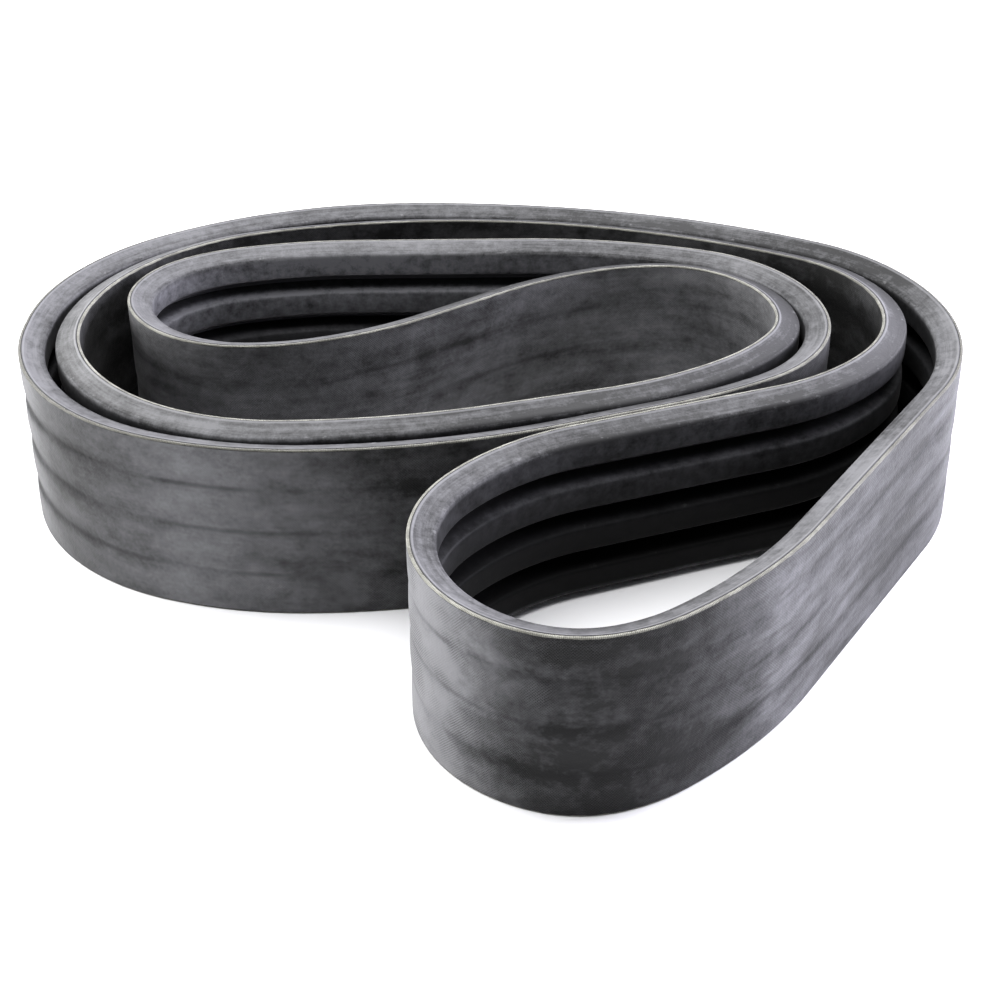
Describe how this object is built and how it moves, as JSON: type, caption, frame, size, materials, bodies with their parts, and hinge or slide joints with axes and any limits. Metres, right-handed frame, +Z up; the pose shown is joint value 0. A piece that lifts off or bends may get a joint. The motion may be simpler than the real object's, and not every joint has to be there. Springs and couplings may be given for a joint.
{
  "type": "v belt",
  "caption": "Banded V-belt: endless flat-backed rubber band with tapered ribs side by side, standing on its edge in a loose storage coil.",
  "frame": {"origin": "centre of the coil's bounding box, on the surface that it stands on", "axes": "+Z up across the belt's width, +X along the coil's longer side, +Y towards the back of the coil, away from the loop that stands out in front"},
  "size_m": [0.5268, 0.4902, 0.0984],
  "materials": {
    "back_fabric": "matt woven, dusty",
    "jacket_fabric": "satin, rubbed",
    "soft_rubber": "matt",
    "cord": "twisted fibre",
    "gum_rubber": "matt",
    "core_rubber": "matt"
  },
  "bodies": {
    "root": {"tie_band_outer_ply": "back_fabric", "tie_band_skim_rubber": "soft_rubber", "tie_band_inner_ply": "jacket_fabric", "rib_1_jacket": "jacket_fabric", "rib_1_cushion_rubber": "soft_rubber", "rib_1_tensile_cords": "cord", "rib_1_adhesion_gum": "gum_rubber", "rib_1_core_rubber": "core_rubber", "rib_2_jacket": "jacket_fabric", "rib_2_cushion_rubber": "soft_rubber", "rib_2_tensile_cords": "cord", "rib_2_adhesion_gum": "gum_rubber", "rib_2_core_rubber": "core_rubber", "rib_3_jacket": "jacket_fabric", "rib_3_cushion_rubber": "soft_rubber", "rib_3_tensile_cords": "cord", "rib_3_adhesion_gum": "gum_rubber", "rib_3_core_rubber": "core_rubber", "rib_4_jacket": "jacket_fabric", "rib_4_cushion_rubber": "soft_rubber", "rib_4_tensile_cords": "cord", "rib_4_adhesion_gum": "gum_rubber", "rib_4_core_rubber": "core_rubber"}
  },
  "joints": []
}
